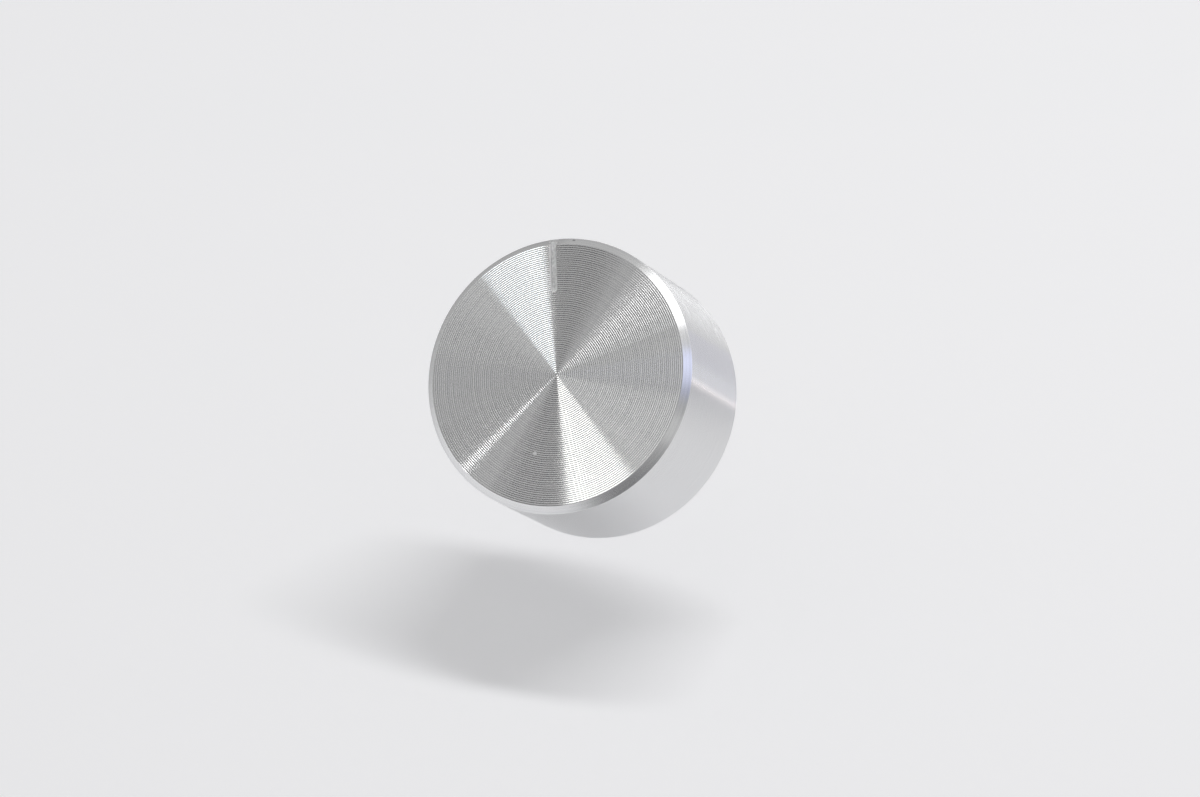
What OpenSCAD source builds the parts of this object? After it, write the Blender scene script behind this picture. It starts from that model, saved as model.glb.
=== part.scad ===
// Turned aluminium control knob for a plain round shaft, held by a grub screw in its side.
// Lengths are in millimetres. The knob's axis lies along Y: the face looks towards -Y, and
// the rear rim, which stands next to the panel, lies at Y = 0. The pointer is at +Z.

/* [Body] */
// Diameter of the knob
body_d = 40; // [32:0.5:60]
// Length from the rear rim to the face
body_l = 21; // [19:0.5:30]
// Chamfer between the face and the side
face_chamfer = 1; // [0.7:0.1:2]
// Chamfer on the outer edge of the rear rim
rim_chamfer = 0.3; // [0.1:0.05:0.8]

/* [Face grooves] */
// Distance from one turned groove to the next
groove_pitch = 0.3; // [0.2:0.05:0.6]
// Depth of a turned groove
groove_depth = 0.04; // [0.02:0.01:0.1]
// Smallest radius of the land left in the middle of the face
land_r = 0.05; // [0.02:0.01:0.2]

/* [Pointer slot] */
// Width of the slot, which is the diameter of its cutter
slot_w = 0.8; // [0.5:0.1:1.5]
// Depth of the slot below the face
slot_depth = 0.6; // [0.3:0.05:0.9]
// Length of the slot from the side of the knob to its round end
slot_l = 7.8; // [4:0.1:12]

/* [Nut recess] */
// Diameter of the recess that clears the control's bush and nut
recess_d = 18; // [15:0.5:24]
// Depth of the recess from the rear rim
recess_depth = 4.5; // [3:0.25:6]
// Chamfer on the edge of the recess
recess_chamfer = 0.3; // [0.1:0.05:0.8]

/* [Shaft bore] */
// Diameter of the shaft that the knob fits
shaft_d = 6; // [4:0.05:8]
// Clearance between shaft and bore, on the diameter
shaft_clearance = 0.05; // [0.02:0.01:0.2]
// Depth of the bore from the recess floor to the shoulder of its drill point
bore_l = 12; // [10:0.25:13]
// Chamfer on the mouth of the bore
mouth_chamfer = 0.4; // [0.2:0.1:0.8]
// Point angle of the drill
drill_angle = 118; // [90:1:140]

/* [Grub screw] */
// Thread diameter of the screw
screw_d = 4; // [3:0.5:5]
// Length of the screw
screw_l = 6; // [4:0.5:10]
// Clearance between screw and hole, on the diameter
screw_clearance = 0.05; // [0.02:0.01:0.2]
// Distance from the recess floor to the axis of the screw
screw_inset = 5; // [4:0.25:7]
// Gap between the bore wall and the point of the slackened screw
screw_gap = 0.3; // [0.1:0.1:1]
// Chamfer on the outer mouth of the screw hole
hole_chamfer = 0.3; // [0.1:0.05:0.6]
// Width of the hexagon socket across its flats
socket_af = 2; // [1.5:0.5:2.5]
// Depth of the hexagon socket
socket_depth = 2.5; // [1.5:0.25:3]
// Diameter of the cup point
cup_d = 2; // [1:0.25:2.5]
// Angle of the hollow in the cup point
cup_angle = 120; // [90:5:140]
// Chamfer on the socket end of the screw
screw_chamfer = 0.4; // [0.1:0.1:0.6]

/* [Hidden] */
$fn = 96;
// How far each cut runs past the surface that it opens through
overrun = 1;
// Place of a groove's bottom between its two crests, as a share of the pitch
bottom_share = 0.5;

body_r = body_d / 2;
face_r = body_r - face_chamfer;
groove_count = floor((face_r - land_r) / groove_pitch);
slot_end_y = body_r - slot_l + slot_w / 2;
recess_r = recess_d / 2;
bore_r = (shaft_d + shaft_clearance) / 2;
bore_end = recess_depth + bore_l;
drill_point_l = bore_r / tan(drill_angle / 2);
screw_r = screw_d / 2;
screw_hole_r = (screw_d + screw_clearance) / 2;
screw_z = recess_depth + screw_inset;
screw_tip_y = bore_r + screw_gap;
socket_r = socket_af / 2 / cos(30);
cup_r = cup_d / 2;
cup_depth = cup_r / tan(cup_angle / 2);

// Everything is turned about Z, with the face at the top and the pointer at +Y, then laid
// into the part's own frame
module in_frame() {
    rotate([90, 0, 0]) children();
}

// Points [radius, height] of the turned face, from its edge to the land in the middle:
// a crest and the bottom of a groove in turn
function face_outline() = [
    for (i = [0 : groove_count - 1]) each [
        [face_r - i * groove_pitch, body_l],
        [face_r - (i + bottom_share) * groove_pitch, body_l - groove_depth]
    ],
    [face_r - groove_count * groove_pitch, body_l]
];

// Points of the side, the rear rim, the recess and the bore, from the bore's end to the chamfer
function back_outline() = [
    [0, bore_end + drill_point_l],
    [bore_r, bore_end],
    [bore_r, recess_depth + mouth_chamfer],
    [bore_r + mouth_chamfer, recess_depth],
    [recess_r, recess_depth],
    [recess_r, recess_chamfer],
    [recess_r + recess_chamfer, 0],
    [body_r - rim_chamfer, 0],
    [body_r, rim_chamfer],
    [body_r, body_l - face_chamfer]
];

// The knob as it leaves the lathe
module turned_blank() {
    rotate_extrude()
        polygon(concat(back_outline(), face_outline(), [[0, body_l]]));
}

// Path of the small end mill that cuts the pointer, from its round end out past the side
module pointer_cut() {
    cut_h = slot_depth + overrun;
    translate([0, slot_end_y, body_l - slot_depth]) {
        cylinder(d = slot_w, h = cut_h);
        translate([-slot_w / 2, 0, 0])
            cube([slot_w, body_r - slot_end_y + overrun, cut_h]);
    }
}

// Radial hole from the bore out through the side, with a broken edge at its mouth
module screw_hole_cut() {
    translate([0, 0, screw_z])
        rotate([-90, 0, 0]) {
            cylinder(r = screw_hole_r, h = body_r + overrun);
            translate([0, 0, body_r - hole_chamfer])
                cylinder(
                    r1 = screw_hole_r,
                    r2 = screw_hole_r + hole_chamfer + overrun,
                    h = hole_chamfer + overrun
                );
        }
}

// Knob turned from one bar, with the pointer milled and the screw hole drilled
module knob_body() {
    color("silver")
        in_frame()
            difference() {
                turned_blank();
                pointer_cut();
                screw_hole_cut();
            }
}

// Points [radius, height] of the screw, from the hollow of its cup point to its socket end
function screw_outline() = [
    [0, cup_depth],
    [cup_r, 0],
    [screw_r, screw_r - cup_r],
    [screw_r, screw_l - screw_chamfer],
    [screw_r - screw_chamfer, screw_l],
    [0, screw_l]
];

// Headless screw with a cup point towards the shaft and a hexagon socket in its outer end
module grub_screw() {
    color("dimgray")
        in_frame()
            translate([0, screw_tip_y, screw_z])
                rotate([-90, 0, 0])
                    difference() {
                        rotate_extrude() polygon(screw_outline());
                        translate([0, 0, screw_l - socket_depth])
                            cylinder(r = socket_r, h = socket_depth + overrun, $fn = 6);
                    }
}

knob_body();
grub_screw();
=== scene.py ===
import math
import bpy
from mathutils import Matrix, Quaternion, Vector


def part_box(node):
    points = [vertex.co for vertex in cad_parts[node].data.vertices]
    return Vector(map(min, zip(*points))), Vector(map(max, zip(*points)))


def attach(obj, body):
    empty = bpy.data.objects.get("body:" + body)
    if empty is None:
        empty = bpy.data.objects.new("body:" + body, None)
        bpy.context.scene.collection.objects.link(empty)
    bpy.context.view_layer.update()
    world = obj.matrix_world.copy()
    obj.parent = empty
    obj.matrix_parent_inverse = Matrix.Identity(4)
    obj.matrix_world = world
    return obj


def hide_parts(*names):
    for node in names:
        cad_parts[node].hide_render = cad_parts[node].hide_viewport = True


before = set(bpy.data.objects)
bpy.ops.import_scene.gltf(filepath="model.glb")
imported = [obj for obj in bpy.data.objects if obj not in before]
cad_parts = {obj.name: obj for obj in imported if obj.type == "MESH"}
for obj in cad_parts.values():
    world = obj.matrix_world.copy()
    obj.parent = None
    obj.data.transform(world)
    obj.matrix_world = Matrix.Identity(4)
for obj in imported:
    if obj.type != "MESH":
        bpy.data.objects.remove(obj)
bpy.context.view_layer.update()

# Knob body
# The knob is turned from one bar of bare aluminium. A pointed tool fed across the face leaves fine
# concentric grooves, the edge is chamfered, and the back is bored for the shaft and recessed for the nut.
body_low, body_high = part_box("knob_body")
body_r = body_high.x
front_y = body_low.y
rear_y = body_high.y
face_chamfer = 0.001
rim_chamfer = 0.0003
recess_r = 0.009
recess_depth = 0.0045
recess_chamfer = 0.0003
bore_r = 0.003025
bore_depth = 0.012
mouth_chamfer = 0.0004
drill_half_angle = math.radians(118 / 2)
groove_pitch = 0.0003
groove_depth = 0.00004
groove_shares = ((0, 0), (0.16, 0.59), (0.29, 0.9), (0.4, 1), (0.56, 0.93), (0.74, 0.755), (0.91, 0.5))
land_r = 0.00005
lathe_steps = 180
side_rings = 6
weld = 0.000002

face_r = body_r - face_chamfer
groove_count = int((face_r - land_r) / groove_pitch)
floor_y = rear_y - recess_depth
drill_point = bore_r / math.tan(drill_half_angle)
side_front_y = front_y + face_chamfer
side_rear_y = rear_y - rim_chamfer

body_profile = [
    (0, floor_y - bore_depth - drill_point),
    (bore_r, floor_y - bore_depth),
    (bore_r, floor_y - mouth_chamfer),
    (bore_r + mouth_chamfer, floor_y),
    (recess_r, floor_y),
    (recess_r, rear_y - recess_chamfer),
    (recess_r + recess_chamfer, rear_y),
    (body_r - rim_chamfer, rear_y),
]
for ring in range(side_rings + 1):
    body_profile.append((body_r, side_rear_y + (side_front_y - side_rear_y) * ring / side_rings))
for groove in range(groove_count):
    for pitch_share, depth_share in groove_shares:
        groove_r = face_r - (groove + pitch_share) * groove_pitch
        body_profile.append((groove_r, front_y + depth_share * groove_depth))
body_profile.append((face_r - groove_count * groove_pitch, front_y))
body_profile.append((0, front_y))


def turn(name, profile, steps):
    """Turns a profile of (radius, height) points about the Y axis into a closed mesh."""
    bpy.ops.object.select_all(action="DESELECT")
    bpy.ops.mesh.primitive_plane_add(size=weld)
    piece = bpy.context.object
    piece.name = piece.data.name = name
    bpy.ops.object.mode_set(mode="EDIT")
    bpy.ops.mesh.select_all(action="SELECT")
    bpy.ops.mesh.merge(type="CENTER")
    bpy.ops.transform.translate(value=(profile[0][0], profile[0][1], 0))
    for (r0, y0), (r1, y1) in zip(profile, profile[1:]):
        bpy.ops.mesh.extrude_vertices_move(TRANSFORM_OT_translate={"value": (r1 - r0, y1 - y0, 0)})
    bpy.ops.mesh.select_all(action="SELECT")
    bpy.ops.mesh.spin(steps=steps, angle=math.tau, center=(0, 0, 0), axis=(0, 1, 0))
    bpy.ops.mesh.select_all(action="SELECT")
    bpy.ops.mesh.remove_doubles(threshold=weld)
    bpy.ops.mesh.normals_make_consistent(inside=False)
    bpy.ops.object.mode_set(mode="OBJECT")
    return piece


knob = turn("knob", body_profile, lathe_steps)

# Pointer slot
# A small end mill cuts the pointer from the rim inwards, so its inner end is round and its floor rough.
# The edge is broken all round with a fine bevel, which catches the light.
slot_w = 0.0008
slot_depth = 0.0006
slot_l = 0.0078
slot_bevel = 0.00014
slot_bevel_depth = 0.00024
slot_over = 0.0005
slot_sides = 32
slot_end_z = body_r - slot_l + slot_w / 2
slot_floor_y = front_y + slot_depth
slot_profile = [
    (0, slot_floor_y),
    (slot_w / 2, slot_floor_y),
    (slot_w / 2, front_y + slot_bevel_depth),
    (slot_w / 2 + slot_bevel * (1 + slot_over / slot_bevel_depth), front_y - slot_over),
    (0, front_y - slot_over),
]


def pick(piece):
    """Selects a piece alone and makes it the active one."""
    bpy.ops.object.select_all(action="DESELECT")
    piece.select_set(True)
    bpy.context.view_layer.objects.active = piece


def cut(piece, tool):
    """Cuts a tool's shape out of a piece and removes the tool."""
    pick(piece)
    boolean = piece.modifiers.new("cut", "BOOLEAN")
    boolean.operation = "DIFFERENCE"
    boolean.solver = "EXACT"
    boolean.object = tool
    bpy.ops.object.modifier_apply(modifier=boolean.name)
    bpy.data.objects.remove(tool)


slot_tool = turn("slot_tool", slot_profile, slot_sides)
for vertex in slot_tool.data.vertices:
    if vertex.co.z > weld:
        vertex.co.z += slot_l
    vertex.co.z += slot_end_z
cut(knob, slot_tool)

# Tapped hole
# A hole for the grub screw is drilled from the side into the bore, at the pointer's place on the
# circumference, tapped M4 and countersunk a little at its mouth.
thread_pitch = 0.0007
thread_major_r = 0.00202
thread_minor_r = 0.00162
thread_rows = 8
thread_sides = 40
screw_inset = 0.005
screw_y = floor_y - screw_inset
mouth_sink = 0.0003
hole_rows = int((body_r + mouth_sink) / thread_pitch * thread_rows)
smooth_limit = math.radians(20)


def thread_radius(height, angle, minor, major):
    """Radius of a V thread at a height along its axis and an angle round it."""
    turn_share = (height / thread_pitch - angle / math.tau) % 1
    return minor + (major - minor) * abs(2 * turn_share - 1)


def stand_up(piece, base):
    """Turns a piece made along Y so that it runs up along Z, with its foot at a given place."""
    for vertex in piece.data.vertices:
        x, y, z = vertex.co
        vertex.co = Vector((x, -z, y)) + base


def smooth(piece):
    """Shades a piece smooth, apart from the edges that are sharper than the limit."""
    pick(piece)
    bpy.ops.object.shade_smooth_by_angle(angle=smooth_limit)


hole_profile = [(0, 0)]
for row in range(hole_rows + 1):
    hole_profile.append((thread_major_r, row * thread_pitch / thread_rows))
hole_profile.append((0, hole_rows * thread_pitch / thread_rows))
tap = turn("tap", hole_profile, thread_sides)
for vertex in tap.data.vertices:
    around = Vector((vertex.co.x, vertex.co.z))
    if around.length < weld:
        continue
    height = vertex.co.y
    angle = math.atan2(around.y, around.x)
    sunk = thread_major_r + height - (body_r - mouth_sink)
    around *= max(thread_radius(height, angle, thread_minor_r, thread_major_r), sunk) / around.length
    vertex.co.x, vertex.co.z = around
stand_up(tap, Vector((0, screw_y, 0)))
cut(knob, tap)
smooth(knob)

# Turned aluminium
# Bare aluminium that the tool leaves bright: smooth along each tool line and rough across it, so a lamp
# is drawn out into a streak across the lines. Each surface has the lines of its own cut, and high on the
# side, where the bar shook, wavy marks lie over them. These are painted lighter than the metal below, so
# they are chatter marks and also a painted sheen on the upper side.
noise_low = 0.3
noise_high = 0.7
line_spacing = 0.0003
line_detail = 3
line_swing = 0.05
wave_size = 0.002
wave_stretch = (0.3, 1, 0.3)
wave_detail = 3
wave_bend = 1.5
wave_swing = 0.12
sheen_swing = 0.08
calm_z = 0.001
sheen_full_z = 0.009
mark_r = 0.0003
nick_place = Vector((0.00305, front_y + 0.0007, 0.0194))
nick_tone = 0.5
chip_place = Vector((0.0178, rear_y - 0.0004, 0.0091))
chip_tone = 0.4
dust_place = Vector((-0.0037, front_y, -0.0111))
dust_r = 0.0004
slot_dull_tone = 0.7
slot_bright_tone = 0.99
slot_rough = 0.5
slot_smooth = 0.34
slot_metallic = 0.9
scuff_size = 0.00035
scuff_detail = 3
scuff_height = 0.00015


def silver(tone, blue=0.012):
    """The colour of bare aluminium at a given tone, a very little blue."""
    return (tone, tone + blue / 4, tone + blue, 1)


def new_metal(name, colour, roughness, anisotropy):
    """A bare metal material with its shader's constants set, and its node tree and shader."""
    material = bpy.data.materials.new(name)
    material.use_nodes = True
    shader = material.node_tree.nodes["Principled BSDF"]
    shader.inputs["Base Color"].default_value = colour
    shader.inputs["Metallic"].default_value = 1
    shader.inputs["Roughness"].default_value = roughness
    shader.inputs["Anisotropic"].default_value = anisotropy
    return material, material.node_tree, shader


def object_place(tree):
    """Place on the piece, in metres."""
    return tree.nodes.new("ShaderNodeTexCoord").outputs["Object"]


def scaled_place(tree, scale):
    """Place on the piece, scaled differently along its three axes."""
    scaled = tree.nodes.new("ShaderNodeVectorMath")
    scaled.operation = "MULTIPLY"
    scaled.inputs[1].default_value = scale
    tree.links.new(object_place(tree), scaled.inputs[0])
    return scaled.outputs[0]


def off_axis(tree):
    """Place on the piece, brought square onto the face: the way from the knob's axis."""
    return scaled_place(tree, (1, 0, 1))


def axis_distance(tree):
    """Distance from the knob's axis."""
    length = tree.nodes.new("ShaderNodeVectorMath")
    length.operation = "LENGTH"
    tree.links.new(off_axis(tree), length.inputs[0])
    return length.outputs["Value"]


def height_along(tree, axis):
    """Height on the piece along one of its axes."""
    parts = tree.nodes.new("ShaderNodeSeparateXYZ")
    tree.links.new(object_place(tree), parts.inputs[0])
    return parts.outputs[axis]


def axis_height(tree):
    """Height along the knob's axis."""
    return height_along(tree, "Y")


def stretch_outwards(tree, shader):
    """Points the shader's tangent away from the axis, across the tool lines of a faced surface."""
    unit = tree.nodes.new("ShaderNodeVectorMath")
    unit.operation = "NORMALIZE"
    tree.links.new(off_axis(tree), unit.inputs[0])
    tree.links.new(unit.outputs[0], shader.inputs["Tangent"])


def stretch_along(tree, shader):
    """Points the shader's tangent along the axis, across the tool lines of a turned side."""
    axis = tree.nodes.new("ShaderNodeCombineXYZ")
    axis.inputs["Y"].default_value = 1
    tree.links.new(axis.outputs[0], shader.inputs["Tangent"])


def tool_lines(tree, distance):
    """Noise in one dimension: every tool line at a distance has its own value."""
    noise = tree.nodes.new("ShaderNodeTexNoise")
    noise.noise_dimensions = "1D"
    noise.inputs["Scale"].default_value = 1 / line_spacing
    noise.inputs["Detail"].default_value = line_detail
    tree.links.new(distance, noise.inputs["W"])
    return noise.outputs[0]


def blotches(tree, place, size, detail, bend=0):
    """Soft noise in the round, with blotches of a given size."""
    noise = tree.nodes.new("ShaderNodeTexNoise")
    noise.inputs["Scale"].default_value = 1 / size
    noise.inputs["Detail"].default_value = detail
    noise.inputs["Distortion"].default_value = bend
    tree.links.new(place, noise.inputs["Vector"])
    return noise.outputs[0]


def chatter(tree):
    """Wavy marks, drawn out along the tool lines, that the cut leaves where the bar shakes."""
    return blotches(tree, scaled_place(tree, wave_stretch), wave_size, wave_detail, wave_bend)


def carry(tree, value, low, high, value_low=0, value_high=1):
    """Carries a value over from its own range to another."""
    carried = tree.nodes.new("ShaderNodeMapRange")
    carried.inputs["From Min"].default_value = value_low
    carried.inputs["From Max"].default_value = value_high
    carried.inputs["To Min"].default_value = low
    carried.inputs["To Max"].default_value = high
    tree.links.new(value, carried.inputs["Value"])
    return carried.outputs[0]


def spread(tree, noise, low, high):
    """Carries a noise value, which keeps near its middle, over to a range."""
    return carry(tree, noise, low, high, noise_low, noise_high)


def fade(tree, value, start, end):
    """Rises softly from nought to one as a value goes from start to end."""
    ramp = tree.nodes.new("ShaderNodeMapRange")
    ramp.interpolation_type = "SMOOTHSTEP"
    ramp.inputs["From Min"].default_value = start
    ramp.inputs["From Max"].default_value = end
    tree.links.new(value, ramp.inputs["Value"])
    return ramp.outputs[0]


def spot(tree, place, radius):
    """One inside a small round spot at a place, and nought outside it."""
    way = tree.nodes.new("ShaderNodeVectorMath")
    way.operation = "DISTANCE"
    way.inputs[1].default_value = place
    tree.links.new(object_place(tree), way.inputs[0])
    return fade(tree, way.outputs["Value"], radius, radius / 2)


def feed(tree, socket, value):
    """Links a socket to another one, or sets it to a constant."""
    if isinstance(value, bpy.types.NodeSocket):
        tree.links.new(value, socket)
    else:
        socket.default_value = value


def reckon(tree, operation, first, second):
    """Result of an operation on two values, each a constant or a socket."""
    result = tree.nodes.new("ShaderNodeMath")
    result.operation = operation
    feed(tree, result.inputs[0], first)
    feed(tree, result.inputs[1], second)
    return result.outputs[0]


def blend_colour(tree, share, first, second):
    """Colour between two others, each a constant or a socket."""
    mix = tree.nodes.new("ShaderNodeMix")
    mix.data_type = "RGBA"
    tree.links.new(share, mix.inputs["Factor"])
    feed(tree, mix.inputs["A"], first)
    feed(tree, mix.inputs["B"], second)
    return mix.outputs["Result"]


def emboss(tree, shader, value, height):
    """Raises the surface by a value times a height."""
    bump = tree.nodes.new("ShaderNodeBump")
    bump.inputs["Strength"].default_value = 1
    bump.inputs["Distance"].default_value = height
    tree.links.new(value, bump.inputs["Height"])
    tree.links.new(bump.outputs[0], shader.inputs["Normal"])


def turned_metal(
    name, distance, tone, roughness, anisotropy, waves, line_height=0, mark=None, shaken_with_sheen=False
):
    """Aluminium whose tool lines, counted along a distance, each have their own tone and height.

    Darker waves lie all over it, or, where the bar shook, lighter ones high on the side, which are chatter
    marks and a painted sheen there, and it may have a mark.
    """
    material, tree, shader = new_metal(name, silver(tone), roughness, anisotropy)
    lines = tool_lines(tree, distance(tree))
    line_share = spread(tree, lines, 0, 1)
    colour = blend_colour(tree, line_share, silver(tone - line_swing), silver(tone + line_swing, 0))
    swirls_and_sheen = spread(tree, chatter(tree), 0, waves)
    wave_and_sheen_tone = tone - wave_swing
    # Painted sheen: high on the side the wavy marks fade in painted lighter than the metal, brightening
    # the upper side
    if shaken_with_sheen:
        swirls_and_sheen = reckon(tree, "MULTIPLY", swirls_and_sheen, fade(tree, height_along(tree, "Z"), calm_z, sheen_full_z))
        wave_and_sheen_tone = tone + wave_swing
    colour = blend_colour(tree, swirls_and_sheen, colour, silver(wave_and_sheen_tone))
    if mark:
        mark_place, mark_tone = mark
        colour = blend_colour(tree, spot(tree, mark_place, mark_r), colour, silver(mark_tone))
    tree.links.new(colour, shader.inputs["Base Color"])
    tree.links.new(carry(tree, swirls_and_sheen, roughness, roughness + sheen_swing), shader.inputs["Roughness"])
    if line_height:
        emboss(tree, shader, lines, line_height)
    return material, tree, shader


face_metal, tree, shader = turned_metal(
    "grooved_face", axis_distance, tone=0.88, roughness=0.18, anisotropy=1, waves=0.1
)
stretch_outwards(tree, shader)
bare_share = reckon(tree, "SUBTRACT", 1, spot(tree, dust_place, dust_r))
tree.links.new(bare_share, shader.inputs["Metallic"])

side_metal, tree, shader = turned_metal(
    "turned_side", axis_height, tone=0.84, roughness=0.23, anisotropy=1, waves=0.9,
    line_height=0.000002, mark=(chip_place, chip_tone), shaken_with_sheen=True,
)
stretch_along(tree, shader)

chamfer_metal, tree, shader = turned_metal(
    "chamfer", axis_height, tone=0.85, roughness=0.24, anisotropy=0.55, waves=0.2,
    line_height=0.000002, mark=(nick_place, nick_tone),
)
stretch_along(tree, shader)

back_metal, tree, shader = turned_metal(
    "turned_back", axis_distance, tone=0.74, roughness=0.3, anisotropy=0.7, waves=0.2, line_height=0.000012
)
stretch_outwards(tree, shader)

hole_metal, tree, shader = turned_metal(
    "drilled_hole", axis_height, tone=0.82, roughness=0.35, anisotropy=0, waves=0.5, line_height=0.000008
)

bevel_metal, tree, shader = turned_metal(
    "slot_bevel", axis_height, tone=0.95, roughness=0.35, anisotropy=0, waves=0.2
)
shader.inputs["Metallic"].default_value = 0

slot_dull = silver(slot_dull_tone, blue=0)
slot_bright = silver(slot_bright_tone, blue=0)
slot_metal, tree, shader = new_metal("milled_slot", slot_bright, slot_rough, anisotropy=0)
shader.inputs["Metallic"].default_value = slot_metallic
scuffs = blotches(tree, object_place(tree), scuff_size, scuff_detail)
scuffed = blend_colour(tree, spread(tree, scuffs, 0, 1), slot_dull, slot_bright)
tree.links.new(scuffed, shader.inputs["Base Color"])
tree.links.new(spread(tree, scuffs, slot_rough, slot_smooth), shader.inputs["Roughness"])
emboss(tree, shader, scuffs, scuff_height)

for material in (side_metal, face_metal, chamfer_metal, back_metal, slot_metal, bevel_metal, hole_metal):
    knob.data.materials.append(material)
SIDE, FACE, CHAMFER, BACK, SLOT, BEVEL, HOLE = range(7)
bevel_slack = 0.03
groove_wall_facing = 0.6
flat_facing = 0.999


def slot_inset(x, z):
    """How far a place on the face lies inside the slot's walls."""
    return slot_w / 2 - math.hypot(x, min(z - slot_end_z, 0))


for polygon in knob.data.polygons:
    x, y, z = polygon.center
    radius = math.hypot(x, z)
    inset = slot_inset(x, z)
    off_bevel = abs(inset / slot_bevel + 1 - (y - front_y) / slot_bevel_depth)
    in_hole = math.hypot(x, y - screw_y) < thread_major_r + mouth_sink and z > bore_r
    faces_front = -polygon.normal.y > groove_wall_facing
    if inset > -weld and y < slot_floor_y + weld:
        polygon.material_index = SLOT
    elif inset > -slot_bevel and off_bevel < bevel_slack:
        polygon.material_index = BEVEL
    elif y < front_y + 2 * groove_depth and faces_front and radius < face_r:
        polygon.material_index = FACE
    elif y < front_y + face_chamfer and radius > face_r:
        polygon.material_index = CHAMFER
    elif in_hole and radius < body_r - weld and abs(polygon.normal.y) < flat_facing:
        polygon.material_index = HOLE
    elif radius < body_r - rim_chamfer:
        polygon.material_index = BACK
    else:
        polygon.material_index = SIDE

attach(knob, "root")
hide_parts("knob_body")

# Grub screw
# A headless M4 screw of blackened steel clamps the shaft. It has a hexagon socket in its outer end and a
# cup point towards the shaft, and it is screwed down deep in its hole.
screw_low, screw_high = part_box("grub_screw")
screw_l = screw_high.z - screw_low.z
screw_rows = int(screw_l / thread_pitch * thread_rows)
screw_slack = 0.00003
cup_r = 0.001
cup_half_angle = math.radians(120 / 2)
cup_depth = cup_r / math.tan(cup_half_angle)
screw_major_r = thread_major_r - screw_slack
screw_minor_r = thread_minor_r - screw_slack
end_chamfer = 0.0004
socket_af = 0.002
socket_depth = 0.0025
socket_sides = 6
steel_black = (0.03, 0.03, 0.034, 1)
steel_worn = (0.16, 0.16, 0.165, 1)
steel_smooth = 0.3
steel_rough = 0.5
wear_size = 0.0008
wear_detail = 4
wear_height = 0.00001

screw_profile = [(0, cup_depth), (cup_r, 0)]
for row in range(1, screw_rows + 1):
    screw_profile.append((screw_major_r, row * screw_l / screw_rows))
screw_profile.append((0, screw_l))
screw = turn("screw", screw_profile, thread_sides)
for vertex in screw.data.vertices:
    around = Vector((vertex.co.x, vertex.co.z))
    if around.length < cup_r + weld:
        continue
    height = vertex.co.y
    angle = math.atan2(around.y, around.x)
    flank = thread_radius(height + screw_low.z, angle, screw_minor_r, screw_major_r)
    end_limit = min(cup_r + height, screw_major_r - end_chamfer + (screw_l - height))
    around *= min(flank, end_limit) / around.length
    vertex.co.x, vertex.co.z = around
stand_up(screw, Vector((0, screw_y, screw_low.z)))

bpy.ops.object.select_all(action="DESELECT")
bpy.ops.mesh.primitive_cylinder_add(
    vertices=socket_sides,
    radius=socket_af / 2 / math.cos(math.pi / socket_sides),
    depth=2 * socket_depth,
    location=(0, screw_y, screw_high.z),
)
socket_tool = bpy.context.object
bpy.ops.object.transform_apply(location=True, rotation=True, scale=True)
cut(screw, socket_tool)
smooth(screw)

screw_metal, tree, shader = new_metal("blackened_steel", steel_black, steel_rough, anisotropy=0)
wear = blotches(tree, object_place(tree), wear_size, wear_detail)
worn = blend_colour(tree, spread(tree, wear, 0, 1), steel_black, steel_worn)
tree.links.new(worn, shader.inputs["Base Color"])
tree.links.new(spread(tree, wear, steel_smooth, steel_rough), shader.inputs["Roughness"])
emboss(tree, shader, wear, wear_height)
screw.data.materials.append(screw_metal)
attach(screw, "root")
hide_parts("grub_screw")

# Camera
# A long lens looks at the face from the right and a little from below, with a slight roll. It stands
# about 0.7 m away, so that the round face and the rear rim are seen with little perspective.
photo_w = 1200
focal_px = 5156
sensor_w = 36.0
camera_place = Vector((0.2440, front_y - 0.6702, -0.1636))
camera_aim = Vector((0.0064, front_y, -0.0042))
camera_roll = math.radians(-2.0)
bpy.ops.object.camera_add(location=camera_place)
camera = bpy.context.object
camera.data.sensor_fit = "HORIZONTAL"
camera.data.sensor_width = sensor_w
camera.data.lens = focal_px / photo_w * sensor_w
look = (camera_aim - camera_place).to_track_quat("-Z", "Y")
camera.rotation_mode = "QUATERNION"
camera.rotation_quaternion = look @ Quaternion((0, 0, 1), camera_roll)
bpy.context.scene.camera = camera

# Paper sweep
# A sheet of pale paper slants up behind the knob and takes its soft shadow. It ends just below the
# picture, and from behind it is clear, so that the back of the knob can be seen.
knob_middle = Vector((0, (front_y + rear_y) / 2, 0))
view_axis = (camera_aim - camera_place).normalized()
view_turn = camera.rotation_quaternion.to_matrix()
view_right = view_turn @ Vector((1, 0, 0))
view_up = view_turn @ Vector((0, 1, 0))
sweep_slope = math.radians(30)
sweep_gap = 0.0343
sweep_front = 0.06
sweep_back = 1.5
sweep_front_half_w = 0.092
sweep_back_half_w = 0.27
sweep_normal = view_up * math.cos(sweep_slope) - view_axis * math.sin(sweep_slope)
sweep_rise = view_up * math.sin(sweep_slope) + view_axis * math.cos(sweep_slope)
sweep_foot = knob_middle - sweep_normal * sweep_gap
paper_colour = (0.92, 0.92, 0.935, 1)
paper_glow = 0.18
bpy.ops.object.select_all(action="DESELECT")
bpy.ops.mesh.primitive_plane_add(size=2)
sweep = bpy.context.object
sweep.name = "sweep"
for vertex in sweep.data.vertices:
    along = -sweep_front
    half_w = sweep_front_half_w
    if vertex.co.y > 0:
        along = sweep_back
        half_w = sweep_back_half_w
    vertex.co = sweep_foot + view_right * vertex.co.x * half_w + sweep_rise * along
paper = bpy.data.materials.new("paper")
paper.use_nodes = True
tree = paper.node_tree
shader = tree.nodes["Principled BSDF"]
shader.inputs["Base Color"].default_value = paper_colour
shader.inputs["Roughness"].default_value = 1
shader.inputs["Specular IOR Level"].default_value = 0
shader.inputs["Emission Color"].default_value = paper_colour


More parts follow.
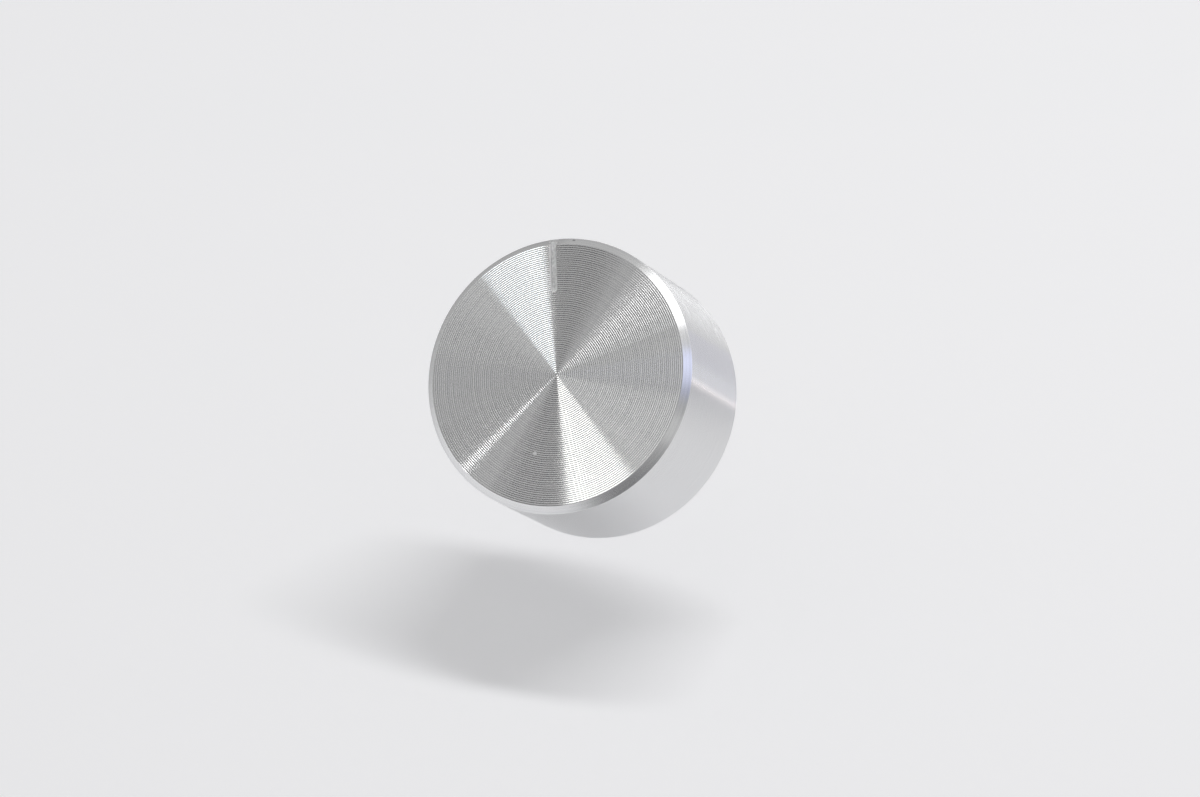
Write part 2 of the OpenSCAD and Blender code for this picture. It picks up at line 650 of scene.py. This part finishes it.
def seen_share(tree, strength):
    """A strength for what the camera sees by itself or in the metal, and nought for other light."""
    path = tree.nodes.new("ShaderNodeLightPath")
    either = reckon(tree, "MAXIMUM", path.outputs["Is Camera Ray"], path.outputs["Is Glossy Ray"])
    return reckon(tree, "MULTIPLY", either, strength)


tree.links.new(seen_share(tree, paper_glow), shader.inputs["Emission Strength"])
side_seen = tree.nodes.new("ShaderNodeNewGeometry")
clear = tree.nodes.new("ShaderNodeBsdfTransparent")
one_sided = tree.nodes.new("ShaderNodeMixShader")
tree.links.new(side_seen.outputs["Backfacing"], one_sided.inputs[0])
tree.links.new(shader.outputs[0], one_sided.inputs[1])
tree.links.new(clear.outputs[0], one_sided.inputs[2])
tree.links.new(one_sided.outputs[0], tree.nodes["Material Output"].inputs["Surface"])
sweep.data.materials.append(paper)

# Cards
# White and tinted cards stand round the knob and show only in its metal, as the bright sectors of the
# face, the light along the chamfer and the thin streak on the side. Dark ones keep these apart.
to_camera = (camera_place - knob_middle).normalized()
card_distance = 0.6
white = (1, 1, 1, 1)
warm_white = (1, 0.98, 0.93, 1)
cool_white = (0.82, 0.92, 1, 1)
rose_white = (1, 0.86, 0.84, 1)
blue_white = (0.74, 0.78, 1, 1)
slate = (0.5, 0.5, 0.56, 1)
soot = (0.1, 0.1, 0.1, 1)


def mirrored(angle, tilt):
    """Direction that metal at a clock angle on the face, tilted outwards, mirrors to the camera."""
    angle = math.radians(angle)
    tilt = math.radians(tilt)
    wall = Vector((math.sin(tilt) * math.sin(angle), -math.cos(tilt), math.sin(tilt) * math.cos(angle)))
    return 2 * wall.dot(to_camera) * wall - to_camera


def card(name, angles, tilts, colour, strength):
    """A flat card that shows in metal between two clock angles and two tilts."""
    bpy.ops.object.select_all(action="DESELECT")
    bpy.ops.mesh.primitive_plane_add(size=2)
    sheet = bpy.context.object
    sheet.name = name
    for vertex in sheet.data.vertices:
        angle = angles[0] if vertex.co.x < 0 else angles[1]
        tilt = tilts[0] if vertex.co.y < 0 else tilts[1]
        vertex.co = knob_middle + mirrored(angle, tilt) * card_distance
    glow = bpy.data.materials.new(name)
    glow.use_nodes = True
    glow.node_tree.nodes.remove(glow.node_tree.nodes["Principled BSDF"])
    light = glow.node_tree.nodes.new("ShaderNodeEmission")
    light.inputs["Color"].default_value = colour
    light.inputs["Strength"].default_value = strength
    glow.node_tree.links.new(light.outputs[0], glow.node_tree.nodes["Material Output"].inputs["Surface"])
    sheet.data.materials.append(glow)
    sheet.visible_camera = False
    sheet.visible_diffuse = False
    sheet.visible_shadow = False


# Cards for the groove walls of the face, with the dark ones last
card("front_card", angles=(145.5, 166), tilts=(7, 14), colour=warm_white, strength=3.1)
card("front_cool_card", angles=(145, 166), tilts=(14, 23), colour=cool_white, strength=1.75)
card("front_bright_card", angles=(166, 176), tilts=(7, 14), colour=warm_white, strength=4)
card("front_bright_cool_card", angles=(166, 176), tilts=(14, 23), colour=cool_white, strength=1.9)
card("streak_card", angles=(47.5, 51.5), tilts=(17, 22), colour=white, strength=6.5)
card("right_face_card", angles=(74, 106), tilts=(6, 16), colour=white, strength=0.7)
card("low_card", angles=(106, 141), tilts=(6, 15), colour=white, strength=1.05)
card("dark_card", angles=(2, 30), tilts=(8, 38), colour=soot, strength=0.4)
card("dark_edge_card", angles=(30, 38), tilts=(8, 38), colour=soot, strength=1.8)
card("dark_left_card", angles=(225, 304), tilts=(0, 7), colour=soot, strength=0.5)
card("dark_right_card", angles=(45, 135), tilts=(0, 7), colour=soot, strength=0.5)

# Cards for the chamfer and the steepest groove walls, white above and blue to the right
card("upper_left_card", angles=(43, 51.5), tilts=(33, 44), colour=white, strength=1.5)
card("upper_card", angles=(51.5, 61), tilts=(33, 46), colour=white, strength=4.2)
card("upper_low_card", angles=(61, 68), tilts=(33, 46), colour=white, strength=3.4)
card("upper_last_card", angles=(68, 74.5), tilts=(33, 46), colour=white, strength=2)
card("upper_right_card", angles=(51.5, 74.5), tilts=(42, 53), colour=white, strength=2.5)
card("top_card", angles=(6, 40), tilts=(39, 53), colour=white, strength=0.54)
card("right_card", angles=(74.5, 86), tilts=(36, 54), colour=white, strength=0.64)
card("blue_card", angles=(86, 96), tilts=(39, 54), colour=blue_white, strength=1.2)
card("blue_middle_card", angles=(96, 101), tilts=(39, 54), colour=blue_white, strength=1)
card("blue_low_card", angles=(101, 106), tilts=(39, 54), colour=blue_white, strength=0.55)
card("low_chamfer_card", angles=(114, 126), tilts=(38, 54), colour=white, strength=0.6)

# Cards for the side: the streak, the soft light above it and the dark beside both
card("edge_card", angles=(97.9, 98.5), tilts=(72, 76), colour=rose_white, strength=28)
card("edge_glow_card", angles=(90, 97.9), tilts=(72, 76), colour=blue_white, strength=2)
card("edge_dark_card", angles=(98.5, 108), tilts=(72, 88), colour=slate, strength=0.65)
card("edge_low_dark_card", angles=(108, 118), tilts=(72, 88), colour=slate, strength=0.7)
card("edge_upper_dark_card", angles=(77, 90), tilts=(72, 88), colour=slate, strength=1.35)

# Softbox
# A long softbox hangs over the knob, from above it to its right. It lights the paper, where it draws the
# knob's soft shadow out to the left, and it doesn't show in the metal.
softbox_distance = 1.1
softbox_w = 0.12
softbox_power = 3.6
softbox_from = Vector((0.15, -0.39, 0.91)).normalized() * softbox_distance
softbox_to = Vector((0.72, -0.24, 0.65)).normalized() * softbox_distance
softbox_middle = (softbox_from + softbox_to) / 2
bpy.ops.object.light_add(type="AREA", location=knob_middle + softbox_middle)
softbox = bpy.context.object
softbox.name = "softbox"
softbox.data.shape = "RECTANGLE"
softbox.data.size = (softbox_to - softbox_from).length
softbox.data.size_y = softbox_w
softbox.data.energy = softbox_power
softbox.visible_glossy = False
softbox_back = softbox_middle.normalized()
long_side = (softbox_to - softbox_from).normalized()
softbox_turn = Matrix((long_side, softbox_back.cross(long_side), softbox_back)).transposed()
softbox.rotation_mode = "QUATERNION"
softbox.rotation_quaternion = softbox_turn.to_quaternion()

# Room
# Behind the knob all is pale, and so is what the camera sees past the paper. In front of the knob and
# below it is a dim room, which shows in the metal and lights the rest a little.
room_front = (0.43, 0.43, 0.43, 1)
room_below = (0.18, 0.18, 0.185, 1)
room_pale = (0.795, 0.795, 0.81, 1)
below_from = -0.5
below_to = -0.95
behind_from = 0.5
behind_to = 0.9
world = bpy.data.worlds.new("studio")
bpy.context.scene.world = world
world.use_nodes = True
tree = world.node_tree
way = tree.nodes.new("ShaderNodeSeparateXYZ")
tree.links.new(tree.nodes.new("ShaderNodeTexCoord").outputs["Generated"], way.inputs[0])
dim = blend_colour(tree, fade(tree, way.outputs["Z"], below_from, below_to), room_front, room_below)
behind_share = fade(tree, way.outputs["Y"], behind_from, behind_to)
camera_share = tree.nodes.new("ShaderNodeLightPath").outputs["Is Camera Ray"]
room = blend_colour(tree, reckon(tree, "MAXIMUM", behind_share, camera_share), dim, room_pale)
tree.links.new(room, tree.nodes["Background"].inputs["Color"])

bpy.context.scene.view_settings.view_transform = "Standard"
